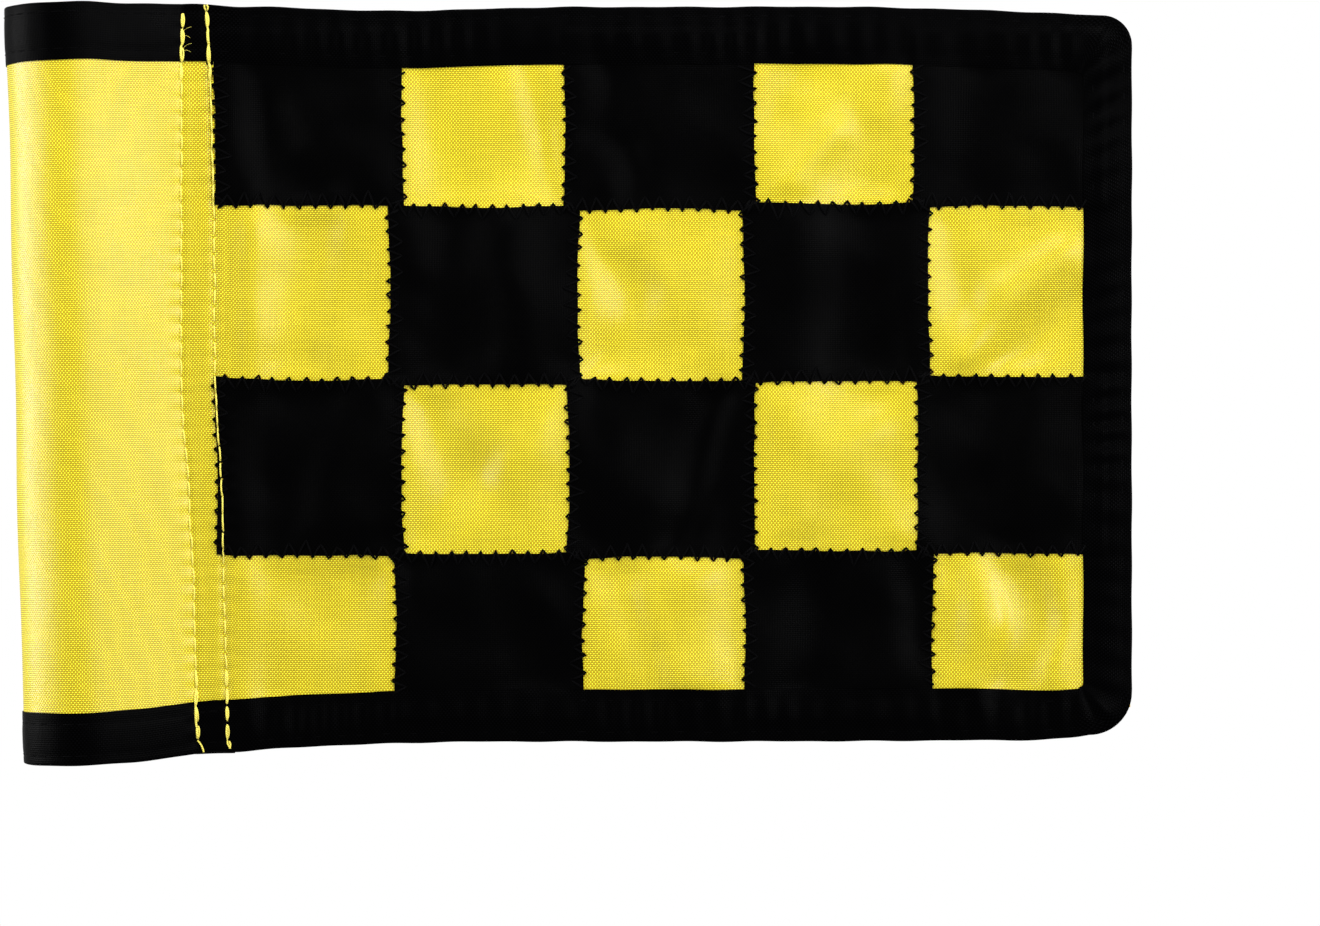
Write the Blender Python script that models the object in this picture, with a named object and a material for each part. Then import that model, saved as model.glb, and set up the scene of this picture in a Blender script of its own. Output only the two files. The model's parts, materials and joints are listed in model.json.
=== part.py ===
"""Golf practice-green flag: chequered nylon with bound edges, sewn round a sleeve on a plastic tube insert.

Lengths are millimetres, and each mesh is scaled to metres when it is made. +Z runs up the sleeve, +X runs
out to the fly edge, and the front faces -Y. The origin is on the tube's axis, at its lower end.

The fly was sewn on slightly out of square. Its outline is drawn square, in "fly coordinates" (x, z) from
the middle of the sleeve, and drooped() turns it to where it lies beside the upright sleeve.
"""

import math

import bmesh
import bpy
from mathutils import Matrix, Vector

# ---- driving dimensions, mm ----
CLOTH = 0.3  # one layer of nylon or tape
GAP = 0.3  # air between two sewn layers
LAYER = CLOTH + GAP

TUBE_RADIUS = 10.5
BORE_RADIUS = 8.5
TUBE_LENGTH = 144.2
TUBE_SIDES = 48

SLEEVE_HEIGHT = 150.2
SLEEVE_OVERHANG = (SLEEVE_HEIGHT - TUBE_LENGTH) / 2
SLEEVE_BOTTOM = -SLEEVE_OVERHANG
SLEEVE_TOP = TUBE_LENGTH + SLEEVE_OVERHANG
MIDDLE = TUBE_LENGTH / 2
POCKET_TIP = 22.4  # where the sleeve's inner faces meet, from the tube's axis
ARC_STEPS = 30

SEAM_INNER_X = 22.9
SEAM_OUTER_X = 27.9
THREAD_WIDTH = 0.5

HINGE_X = 31.0  # the fly bends here, just outside the second seam
# Layers stop inside this angle either side of the hinge, so that a 120 degree bend is clear.
HINGE_WEDGE = math.radians(26)

SEWN_SKEW = math.radians(1.5)
FLY_REACH = 209.9
FLY_TOP_AT_SLEEVE = 75.2
FLY_TOP_AT_END = 74.0
FLY_BOTTOM = -70.8
BOTTOM_FLARE = 2.6  # the bottom edge drops this much more beside the sleeve
FLARE_LENGTH = 22.0
UPPER_CORNER = 5.5
LOWER_CORNER = 8.0
CORNER_STEPS = 8
TOP_EDGE_STEPS = 3
BOTTOM_EDGE_STEPS = 12

TAPE_TOP = 11.2
TAPE_FLY = 9.6
TAPE_BOTTOM = 10.2
ROW_FROM_EDGE = 1.6  # a tape's stitch rows, from its outer and its inner edge
ROW_FROM_INNER = 2.2
SLOT_PAST = 1.0  # the cutter of a tape's slot runs this far out of its open side

SQUARE_WIDTH = 38.0
SQUARE_HEIGHT = 35.9
COLUMN_PITCH = 34.8
ROW_PITCH = 34.5
FIRST_COLUMN = 27.4
FIRST_ROW_TOP = 70.4
COLUMNS = 5
ROWS = 4
TURN_UNDER = 3.0  # how far a black square laps over the yellow cloth round its cut-away window
CORNER_CUT = 2.6
ZIGZAG_WIDTH = 2.6
ZIGZAG_INSET = 0.2

# ---- layers of the fly, front to back, as (front face, back face) in y ----
TAPE_BACK = (LAYER + CLOTH / 2, LAYER + CLOTH * 1.5)
YELLOW = (CLOTH / 2, CLOTH * 1.5)
BLACK = (-CLOTH * 1.5, -CLOTH / 2)
TAPE_FRONT = (-LAYER - CLOTH * 1.5, -LAYER - CLOTH / 2)
ROW_THREAD = (TAPE_FRONT[0] - LAYER, TAPE_FRONT[0] - GAP)

# ---- radii of the sleeve's layers round the tube, inside to outside ----
INNER_TAPE_RADIUS = TUBE_RADIUS + GAP
SLEEVE_RADIUS = INNER_TAPE_RADIUS + LAYER
OUTER_TAPE_RADIUS = SLEEVE_RADIUS + CLOTH + GAP
OUTSIDE_RADIUS = OUTER_TAPE_RADIUS + CLOTH
FLANK = math.asin(SLEEVE_RADIUS / POCKET_TIP)

YELLOW_NYLON = ("yellow_nylon", (0.93, 0.80, 0.07), 0.55)
BLACK_NYLON = ("black_nylon", (0.010, 0.010, 0.016), 0.5)
BLACK_TAPE = ("black_tape", (0.008, 0.008, 0.012), 0.6)
YELLOW_THREAD = ("yellow_thread", (0.85, 0.72, 0.05), 0.5)
BLACK_THREAD = ("black_thread", (0.006, 0.006, 0.009), 0.5)
INSERT_PLASTIC = ("insert_plastic", (0.82, 0.83, 0.84), 0.4)


def clear_scene():
    for obj in list(bpy.data.objects):
        bpy.data.objects.remove(obj, do_unlink=True)


def material(kind):
    name, colour, roughness = kind
    found = bpy.data.materials.get(name)
    if found:
        return found
    made = bpy.data.materials.new(name)
    made.use_nodes = True
    shader = made.node_tree.nodes["Principled BSDF"]
    shader.inputs["Base Color"].default_value = (*colour, 1)
    shader.inputs["Roughness"].default_value = roughness
    shader.inputs["Metallic"].default_value = 0
    return made


def joint_empty(name, x, z, parent=None):
    """An empty on a joint's axis, which carries the pieces that turn with it."""
    empty = bpy.data.objects.new(name, None)
    bpy.context.collection.objects.link(empty)
    empty.parent = parent
    at = Vector((x, 0, z)) / 1000
    empty.location = at - (parent.location if parent else Vector())
    return empty


def make_object(name, mesh, kind, parent=None):
    """Link a mesh drawn in world millimetres as an object whose origin is its joint's axis."""
    at = Vector()
    carrier = parent
    while carrier:
        at += carrier.location
        carrier = carrier.parent
    mesh.transform(Matrix.Translation(-at) @ Matrix.Scale(0.001, 4))
    mesh.materials.append(material(kind))
    obj = bpy.data.objects.new(name, mesh)
    bpy.context.collection.objects.link(obj)
    obj.parent = parent
    return obj


# ---- outlines ----


def spread(start, end, steps):
    return [start + (end - start) * i / steps for i in range(steps + 1)]


def teardrop(radius, tail_half=None, tail_end=None):
    """The sleeve's section: an arc round the tube, with flanks that meet at a tip or end in a flat tail."""
    tangent = math.pi / 2 - FLANK
    angles = spread(tangent, 2 * math.pi - tangent, ARC_STEPS)
    arc = [(radius * math.cos(a), radius * math.sin(a)) for a in angles]
    tip = radius / math.sin(FLANK)
    if tail_half is None:
        return arc + [(tip, 0)]
    start = tip - tail_half / math.tan(FLANK)
    return arc + [(start, -tail_half), (tail_end, -tail_half), (tail_end, tail_half), (start, tail_half)]


def clear_of_hinge(y_far):
    """How far from the hinge line a layer stops, when its far face is y_far from the middle."""
    return y_far / math.tan(HINGE_WEDGE)


def drooped(x, z):
    """Fly coordinates to the part's own x and z."""
    return (
        x * math.cos(SEWN_SKEW) + z * math.sin(SEWN_SKEW),
        z * math.cos(SEWN_SKEW) - x * math.sin(SEWN_SKEW) + MIDDLE,
    )


def sleeve_side(z, x_part):
    """The fly x, at height z, of the upright line at x_part."""
    return (x_part - z * math.sin(SEWN_SKEW)) / math.cos(SEWN_SKEW)


def top_edge(x):
    share = (x - HINGE_X) / (FLY_REACH - HINGE_X)
    return FLY_TOP_AT_SLEEVE + (FLY_TOP_AT_END - FLY_TOP_AT_SLEEVE) * share


def bottom_edge(x):
    return FLY_BOTTOM - BOTTOM_FLARE * math.exp((HINGE_X - x) / FLARE_LENGTH)


def corner(x, z, radius, start):
    """A quarter round of the given radius inside the corner (x, z), clockwise from the angle start."""
    if radius <= 0:
        return [(x, z)]
    centre = Vector((x - radius, z - math.copysign(radius, z)))
    angles = spread(start, start - math.pi / 2, CORNER_STEPS)
    return [tuple(centre + radius * Vector((math.cos(a), math.sin(a)))) for a in angles]


def fly_edges(top, fly, bottom, left):
    """The bound edge as an open path, inset by a distance on each side, from the upright line x = left."""
    upper_start = sleeve_side(FLY_TOP_AT_SLEEVE, left)
    lower_start = sleeve_side(FLY_BOTTOM, left)
    reach = FLY_REACH - fly
    upper = UPPER_CORNER - fly
    lower = LOWER_CORNER - fly
    over_x = spread(upper_start, reach - max(upper, 0), TOP_EDGE_STEPS)[:-1]
    under_x = spread(reach - max(lower, 0), lower_start, BOTTOM_EDGE_STEPS)[1:]
    over = [(x, top_edge(x) - top) for x in over_x]
    under = [(x, bottom_edge(x) + bottom) for x in under_x]
    upper_corner = corner(reach, top_edge(reach) - top, upper, math.pi / 2)
    lower_corner = corner(reach, bottom_edge(reach) + bottom, lower, 0)
    return over + upper_corner + lower_corner + under


def offset_path(path, distance, closed):
    """The path moved sideways, with mitred corners."""
    moved = []
    count = len(path)
    for i, here in enumerate(path):
        before = path[i - 1] if closed or i else None
        after = path[(i + 1) % count] if closed or i < count - 1 else None
        point = Vector(here)
        arriving = (point - Vector(before)).normalized() if before else None
        leaving = (Vector(after) - point).normalized() if after else arriving
        arriving = arriving or leaving
        mean = (arriving + leaving).normalized()
        normal = Vector((-mean.y, mean.x))
        moved.append(tuple(point + normal * distance / mean.dot(arriving)))
    return moved


def square_box(column, row):
    """A black square's left, right, bottom and top in fly coordinates."""
    left = FIRST_COLUMN + column * COLUMN_PITCH
    top = FIRST_ROW_TOP - row * ROW_PITCH
    return left, left + SQUARE_WIDTH, top - SQUARE_HEIGHT, top


def square_corners(column, row, inset, hinge_clear):
    """The square's corners, anticlockwise from the lower left, kept right of an upright line."""
    left, right, bottom, top = square_box(column, row)
    corners = [
        (left + inset, bottom + inset),
        (right - inset, bottom + inset),
        (right - inset, top - inset),
        (left + inset, top - inset),
    ]
    return [(max(x, sleeve_side(z, hinge_clear)), z) for x, z in corners]


def cut_corners(corners, cut):
    """Cut each corner at 45 degrees, so that squares that meet corner to corner stay apart."""
    outline = []
    for i, here in enumerate(corners):
        point = Vector(here)
        for other in (corners[i - 1], corners[(i + 1) % len(corners)]):
            outline.append(tuple(point + (Vector(other) - point).normalized() * cut))
    return outline


# ---- solids ----


def prism(name, outline, low, high, along, holes=()):
    """A closed plate: the outline less its holes, from low to high along "y" or "z"."""
    bm = bmesh.new()
    edges = []
    for loop in (outline, *holes):
        if along == "z":
            verts = [bm.verts.new((x, y, low)) for x, y in loop]
        else:
            verts = [bm.verts.new((x, low, z)) for x, z in loop]
        edges += [bm.edges.new(pair) for pair in zip(verts, verts[1:] + verts[:1])]
    bmesh.ops.triangle_fill(bm, use_beauty=True, edges=edges)
    raised = bmesh.ops.extrude_face_region(bm, geom=bm.faces[:])
    top_verts = [item for item in raised["geom"] if isinstance(item, bmesh.types.BMVert)]
    direction = (0, 0, high - low) if along == "z" else (0, high - low, 0)
    bmesh.ops.translate(bm, vec=direction, verts=top_verts)
    bmesh.ops.recalc_face_normals(bm, faces=bm.faces[:])
    mesh = bpy.data.meshes.new(name)
    bm.to_mesh(mesh)
    bm.free()
    return mesh


def fly_plate(name, outline, layer, holes=()):
    """A plate of the fly in one layer, from an outline in fly coordinates."""
    placed = [[drooped(x, z) for x, z in loop] for loop in (outline, *holes)]
    return prism(name, placed[0], layer[0], layer[1], "y", placed[1:])


def carve(obj, name, mesh, parent):
    """Cut a hidden cutter out of an object."""
    cutter = make_object(name, mesh, BLACK_TAPE, parent)
    cutter.hide_render = True
    cutter.display_type = "WIRE"
    boolean = obj.modifiers.new(name, "BOOLEAN")
    boolean.operation = "DIFFERENCE"
    boolean.solver = "EXACT"
    boolean.object = cutter


def make_tube_insert():
    circle = spread(0, 2 * math.pi, TUBE_SIDES)[:-1]
    outside, bore = ([(r * math.cos(a), r * math.sin(a)) for a in circle] for r in (TUBE_RADIUS, BORE_RADIUS))
    mesh = prism("tube_insert", outside, 0, TUBE_LENGTH, "z", [bore])
    mesh.shade_smooth()
    mesh.set_sharp_from_angle(angle=math.radians(30))
    make_object("tube_insert", mesh, INSERT_PLASTIC)


def make_sleeve_cloth(parent):
    half = CLOTH
    section = teardrop(SLEEVE_RADIUS + CLOTH, half, HINGE_X - clear_of_hinge(half))
    low = SLEEVE_BOTTOM + LAYER
    high = SLEEVE_TOP - LAYER
    mesh = prism("sleeve_cloth", section, low, high, "z", [teardrop(SLEEVE_RADIUS)])
    make_object("sleeve_cloth", mesh, YELLOW_NYLON, parent)


def make_sleeve_binding(name, rim, inward, width, parent):
    """Tape folded over the sleeve's open end; inward is +1 at the bottom rim and -1 at the top rim."""
    half = CLOTH * 2 + GAP
    end = HINGE_X - clear_of_hinge(half)
    inner_edge = rim + inward * width
    low, high = sorted((rim, inner_edge))
    section = teardrop(OUTSIDE_RADIUS, half, end)
    mesh = prism(name, section, low, high, "z", [teardrop(INNER_TAPE_RADIUS)])
    tape = make_object(name, mesh, BLACK_TAPE, parent)
    slot_low, slot_high = sorted((rim + inward * CLOTH, inner_edge + inward * SLOT_PAST))
    slot_section = teardrop(OUTER_TAPE_RADIUS, CLOTH + GAP, end + SLOT_PAST)
    slot_hole = teardrop(INNER_TAPE_RADIUS + CLOTH)
    slot = prism(name + "_slot", slot_section, slot_low, slot_high, "z", [slot_hole])
    carve(tape, name + "_slot", slot, parent)


def make_sleeve_row(name, height, parent):
    """One row of stitching round the outside of a sleeve binding."""
    end = HINGE_X - clear_of_hinge(CLOTH * 3 + GAP * 2)
    half = CLOTH * 2 + GAP * 2
    outer = teardrop(OUTSIDE_RADIUS + LAYER, half + CLOTH, end)
    inner = teardrop(OUTSIDE_RADIUS + GAP, half, end)
    mesh = prism(name, open_row(outer, inner), height - THREAD_WIDTH / 2, height + THREAD_WIDTH / 2, "z")
    make_object(name, mesh, BLACK_THREAD, parent)


def open_row(outer, inner):
    """The strip between two teardrops with tails, open at the tail's end."""

    def from_tail(path):
        # The last four points are the tail's: front start, front end, back end and back start.
        return [path[-2], path[-1], *path[:-4], path[-4], path[-3]]

    return from_tail(outer) + from_tail(inner)[::-1]


def make_seam_thread(name, x, parent):
    """A row of yellow stitching that closes the sleeve, along its front."""
    front = -(CLOTH * 3 + GAP * 3)
    half = THREAD_WIDTH / 2
    strip = [(x - half, front - CLOTH), (x + half, front - CLOTH), (x + half, front), (x - half, front)]
    mesh = prism(name, strip, SLEEVE_BOTTOM, SLEEVE_TOP, "z")
    make_object(name, mesh, YELLOW_THREAD, parent)


def black_squares():
    """(column, row) of each black square; the corner square by the sleeve's top is black."""
    return [(column, row) for row in range(ROWS) for column in range(COLUMNS) if (column + row) % 2 == 0]


def make_fly_cloth(parent):
    left = HINGE_X + clear_of_hinge(YELLOW[1])
    outline = fly_edges(LAYER, LAYER, LAYER, left)
    windows = [square_corners(column, row, TURN_UNDER, left + TURN_UNDER) for column, row in black_squares()]
    make_object("fly_cloth", fly_plate("fly_cloth", outline, YELLOW, windows), YELLOW_NYLON, parent)


def make_fly_binding(parent):
    """Tape folded over the fly's top, outer and bottom edges, in one length round both corners."""
    thick = TAPE_BACK[1]
    left = HINGE_X + clear_of_hinge(thick)
    outer = fly_edges(0, 0, 0, left)
    inner = fly_edges(TAPE_TOP, TAPE_FLY, TAPE_BOTTOM, left)
    mesh = fly_plate("fly_binding", outer + inner[::-1], (-thick, thick))
    tape = make_object("fly_binding", mesh, BLACK_TAPE, parent)
    slot_outer = fly_edges(CLOTH, CLOTH, CLOTH, left - SLOT_PAST)
    slot_widths = (width + SLOT_PAST for width in (TAPE_TOP, TAPE_FLY, TAPE_BOTTOM))
    slot_inner = fly_edges(*slot_widths, left - SLOT_PAST)
    slot = fly_plate("fly_binding_slot", slot_outer + slot_inner[::-1], (-thick + CLOTH, thick - CLOTH))
    carve(tape, "fly_binding_slot", slot, parent)


def make_fly_row(name, from_edge, parent):
    """One row of stitching along the tape's front, given its distance from each outer edge."""
    left = HINGE_X + clear_of_hinge(-ROW_THREAD[0]) + THREAD_WIDTH
    outer = fly_edges(*from_edge, left)
    inner = fly_edges(*(distance + THREAD_WIDTH for distance in from_edge), left)
    make_object(name, fly_plate(name, outer + inner[::-1], ROW_THREAD), BLACK_THREAD, parent)


def make_black_square(column, row, parent):
    name = f"black_square_r{row + 1}c{column + 1}"
    left = HINGE_X + clear_of_hinge(-BLACK[0])
    outline = cut_corners(square_corners(column, row, 0, left), CORNER_CUT)
    make_object(name, fly_plate(name, outline, BLACK), BLACK_NYLON, parent)


def make_zigzag(column, row, parent):
    """The band of zigzag stitching along the square's edges that the tape doesn't cover."""
    name = f"zigzag_r{row + 1}c{column + 1}"
    inset = ZIGZAG_INSET + ZIGZAG_WIDTH / 2
    left = HINGE_X + clear_of_hinge(-TAPE_FRONT[0]) + ZIGZAG_WIDTH / 2
    corners = square_corners(column, row, inset, left)
    tape_x = FLY_REACH - TAPE_FLY - GAP
    tape_top = top_edge(corners[2][0]) - TAPE_TOP - GAP
    tape_bottom = bottom_edge(corners[1][0]) + TAPE_BOTTOM + GAP
    first_row = row == 0
    last_row = row == ROWS - 1
    last_column = column == COLUMNS - 1
    loop = cut_corners(corners, CORNER_CUT - ZIGZAG_INSET)
    lower_left, lower_right, upper_right, upper_left = (loop[i : i + 2] for i in (0, 2, 4, 6))
    if first_row:
        path = [(lower_left[0][0], tape_top), *lower_left]
        if last_column:
            path.append((tape_x, lower_right[0][1]))
        else:
            path += [*lower_right, (lower_right[1][0], tape_top)]
    elif last_row:
        path = [(upper_right[0][0], tape_bottom), *upper_right, *upper_left, (upper_left[1][0], tape_bottom)]
    elif last_column:
        path = [(tape_x, upper_right[1][1]), *upper_left, *lower_left, (tape_x, lower_right[0][1])]
    else:
        path = loop
    closed = path is loop
    sides = [offset_path(path, side * ZIGZAG_WIDTH / 2, closed) for side in (-1, 1)]
    if closed:
        mesh = fly_plate(name, sides[0], TAPE_FRONT, [sides[1]])
    else:
        mesh = fly_plate(name, sides[0] + sides[1][::-1], TAPE_FRONT)
    make_object(name, mesh, BLACK_THREAD, parent)


def main():
    clear_scene()
    swivel = joint_empty("flag_swivel", 0, 0)
    bend = joint_empty("fly_bend", HINGE_X, MIDDLE, swivel)

    make_tube_insert()

    make_sleeve_cloth(swivel)
    make_sleeve_binding("sleeve_binding_top", SLEEVE_TOP, -1, TAPE_TOP, swivel)
    make_sleeve_binding("sleeve_binding_bottom", SLEEVE_BOTTOM, 1, TAPE_BOTTOM, swivel)
    make_sleeve_row("sleeve_row_top_outer", SLEEVE_TOP - ROW_FROM_EDGE, swivel)
    make_sleeve_row("sleeve_row_top_inner", SLEEVE_TOP - TAPE_TOP + ROW_FROM_INNER, swivel)
    make_sleeve_row("sleeve_row_bottom_outer", SLEEVE_BOTTOM + ROW_FROM_EDGE, swivel)
    make_sleeve_row("sleeve_row_bottom_inner", SLEEVE_BOTTOM + TAPE_BOTTOM - ROW_FROM_INNER, swivel)
    make_seam_thread("seam_thread_inner", SEAM_INNER_X, swivel)
    make_seam_thread("seam_thread_outer", SEAM_OUTER_X, swivel)

    make_fly_cloth(bend)
    make_fly_binding(bend)
    make_fly_row("fly_row_outer", [ROW_FROM_EDGE] * 3, bend)
    make_fly_row("fly_row_inner", [tape - ROW_FROM_INNER for tape in (TAPE_TOP, TAPE_FLY, TAPE_BOTTOM)], bend)
    for column, row in black_squares():
        make_black_square(column, row, bend)
        make_zigzag(column, row, bend)


main()
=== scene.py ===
"""Looks for the golf practice-green flag: its cloth, tape, threads and tube, with the studio and camera.

Lengths are millimetres until a mesh is made. Cloth is drawn on a flat pattern. Grid coordinates (a, b)
follow the chequer: a runs from the hem at the sleeve's back, round the tube, to the fly edge, and b is the
height from the middle. pattern() turns them to (s, t), where s is the length along the cloth and t the height
along the tube, because the fly was sewn on slightly out of square. lay() puts a point of the pattern where
the sewn flag holds it, n millimetres out from the middle of the yellow cloth, towards the front or, on the
sleeve, outwards.
"""

import json
import math
from functools import partial

import bpy
import numpy as np
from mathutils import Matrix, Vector


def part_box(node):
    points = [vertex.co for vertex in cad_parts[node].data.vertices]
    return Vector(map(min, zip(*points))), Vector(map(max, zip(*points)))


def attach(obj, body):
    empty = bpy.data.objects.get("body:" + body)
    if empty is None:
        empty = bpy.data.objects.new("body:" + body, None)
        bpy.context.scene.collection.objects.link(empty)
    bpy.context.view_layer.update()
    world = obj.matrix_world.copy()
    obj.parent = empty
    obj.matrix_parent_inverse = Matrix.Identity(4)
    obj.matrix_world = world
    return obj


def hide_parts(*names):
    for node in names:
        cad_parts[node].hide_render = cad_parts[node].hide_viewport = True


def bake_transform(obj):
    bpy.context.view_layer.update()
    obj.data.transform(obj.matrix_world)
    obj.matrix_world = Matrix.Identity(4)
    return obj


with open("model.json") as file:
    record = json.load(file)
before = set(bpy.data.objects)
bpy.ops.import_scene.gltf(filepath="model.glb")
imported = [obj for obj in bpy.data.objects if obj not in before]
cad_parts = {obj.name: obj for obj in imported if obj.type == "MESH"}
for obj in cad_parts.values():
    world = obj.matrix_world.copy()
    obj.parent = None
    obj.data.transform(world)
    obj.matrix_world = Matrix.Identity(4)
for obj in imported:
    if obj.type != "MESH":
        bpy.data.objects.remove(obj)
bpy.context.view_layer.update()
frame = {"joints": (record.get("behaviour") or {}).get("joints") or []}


def box_mm(node):
    low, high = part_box(node)
    return np.array(low) * 1000, np.array(high) * 1000


# ---- places from the frame, mm ----
TUBE_LOW, TUBE_HIGH = box_mm("tube_insert")
MIDDLE = (TUBE_LOW[2] + TUBE_HIGH[2]) / 2
SLEEVE_LOW, SLEEVE_HIGH = box_mm("sleeve_binding_bottom")[0], box_mm("sleeve_binding_top")[1]
SLEEVE_HALF = (SLEEVE_HIGH[2] - SLEEVE_LOW[2]) / 2
FOLD_RADIUS = -SLEEVE_LOW[0]
HINGE_X = next(j["pos_m"][0] for j in frame["joints"] if j["name"] == "fly_bend") * 1000

# ---- cloth, tape and thread ----
CLOTH = 0.2
AIR = 0.02
LAYER = CLOTH + AIR
SLEEVE_RADIUS = FOLD_RADIUS - LAYER - CLOTH / 2
EDGE_INSET = LAYER + CLOTH / 2  # the tape's fold fills this much at the bound edge
HEM_EDGE_X = 29.9
HEM_TURN = 5.0
BACK_LAYER_Y = 3 * LAYER

SEWN_SKEW = math.radians(1.5)
TURN_FROM, TURN_TO = 24.0, 33.0  # the pattern turns from square with the sleeve to the chequer between these

# ---- the bound outline, as (a, b) knots of smooth curves ----
TOP_EDGE = [
    (-60, 74.1), (-26, 74.5), (-18, 74.85), (0, 75.0), (12, 74.85), (24, 74.95), (33, 75.05), (62, 74.2),
    (102, 75.0), (150, 75.0), (180, 74.4), (203, 73.3),
]
BOTTOM_EDGE = [
    (-60, -74.2), (-26, -75.0), (0, -75.2), (12, -74.85), (24, -73.95), (33, -73.05), (52, -71.85),
    (82, -71.1), (150, -71.05), (180, -70.85), (190, -70.8), (197, -70.4), (203, -69.5),
]
REACH = 209.9
UPPER_CORNER = 6.0
LOWER_CORNER = 8.5
INNER_CORNER = 0.7

TAPE_TOP = 11.4
TAPE_BOTTOM = 10.4
TAPE_FLY = 9.7
TAPE_NARROWED = 0.8  # how much narrower the lower tape grows towards its corner
NARROW_FROM, NARROW_TO = 176.0, 202.0

# ---- stitch lines, as (t, s) knots ----
SEAM_INNER = [(-75, 22.3), (-45, 22.3), (-22, 21.8), (-3, 20.9), (27, 21.6), (56, 22.4), (75, 23.2)]
SEAM_OUTER = [(-75, 28.5), (-45, 28.2), (-20, 28.4), (0, 27.7), (35, 28.2), (56, 28.3), (75, 27.9)]

SEAM_STITCH = 3.45
SEAM_PHASE = 1.0  # the height of one needle hole
SEAM_CHANNEL = 0.20
SEAM_DIMPLE = 0.38
SEAM_PUCKER = 0.16

SLEEVE_PULL = 0.4  # the sleeve is drawn in by this much under the top tape
SLEEVE_PULL_HEIGHT = 52
SLEEVE_PULL_REACH = 16

# ---- the black squares in grid coordinates: (left, right, bottom, top) by (row, column) ----
UNDER_TOP = 70.4  # where the squares at the flag's edges end under its tape
UNDER_BOTTOM = -67.2
UNDER_FLY = 204.6
SQUARES = {
    (1, 1): (28.0, 65.2, 35.2, UNDER_TOP),
    (1, 3): (96.8, 135.2, 34.4, UNDER_TOP),
    (1, 5): (166.2, UNDER_FLY, 35.0, UNDER_TOP),
    (2, 2): (62.0, 100.2, -0.4, 35.6),
    (2, 4): (132.4, 169.8, 0.2, 36.2),
    (3, 1): (27.4, 65.2, -34.4, 1.2),
    (3, 3): (97.6, 135.2, -34.8, 1.0),
    (3, 5): (167.0, UNDER_FLY, -34.0, 1.8),
    (4, 2): (63.2, 101.2, UNDER_BOTTOM, -33.4),
    (4, 4): (132.6, 170.6, UNDER_BOTTOM, -32.8),
}
TURN_UNDER = 3.0


# ---- curves and the flat pattern ----


def smooth(x):
    x = np.clip(x, 0, 1)
    return x * x * (3 - 2 * x)


def bell(x):
    return np.exp(-(x**2))


def depth_inside(box, a, b):
    """How far (a, b) lies inside a square; negative outside."""
    left, right, bottom, top = box
    return np.minimum(np.minimum(a - left, right - a), np.minimum(b - bottom, top - b))


def knot_curve(knots, x):
    """A smooth curve through the knots: a monotone cubic between each pair."""
    kx, ky = (np.array(values, float) for values in zip(*knots))
    step = np.diff(kx)
    slope = np.diff(ky) / step
    same_way = slope[1:] * slope[:-1] > 0
    inner = np.where(same_way, 2 * slope[1:] * slope[:-1] / np.where(same_way, slope[1:] + slope[:-1], 1), 0)
    tangent = np.concatenate([[slope[0]], inner, [slope[-1]]])
    x = np.clip(x, kx[0], kx[-1])
    i = np.clip(np.searchsorted(kx, x) - 1, 0, len(step) - 1)
    h = step[i]
    u = (x - kx[i]) / h
    rise = ky[i] * (1 + 2 * u) * (1 - u) ** 2 + ky[i + 1] * u**2 * (3 - 2 * u)
    return rise + h * (tangent[i] * u * (1 - u) ** 2 + tangent[i + 1] * u**2 * (u - 1))


def length_along(path):
    """The length from a path's start to each of its points."""
    return np.concatenate([[0], np.cumsum(np.linalg.norm(np.diff(path, axis=0), axis=1))])


def pattern(a, b):
    """Grid coordinates to the flat pattern."""
    turned = smooth((a - TURN_FROM) / (TURN_TO - TURN_FROM))
    s = a * math.cos(SEWN_SKEW) + b * math.sin(SEWN_SKEW)
    t = b * math.cos(SEWN_SKEW) - a * math.sin(SEWN_SKEW)
    return a + (s - a) * turned, b + (t - b) * turned


def unpattern(s, t):
    """The flat pattern back to grid coordinates."""
    a, b = s, t
    for _ in range(6):
        now_s, now_t = pattern(a, b)
        a, b = a + s - now_s, b + t - now_t
    return a, b


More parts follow.
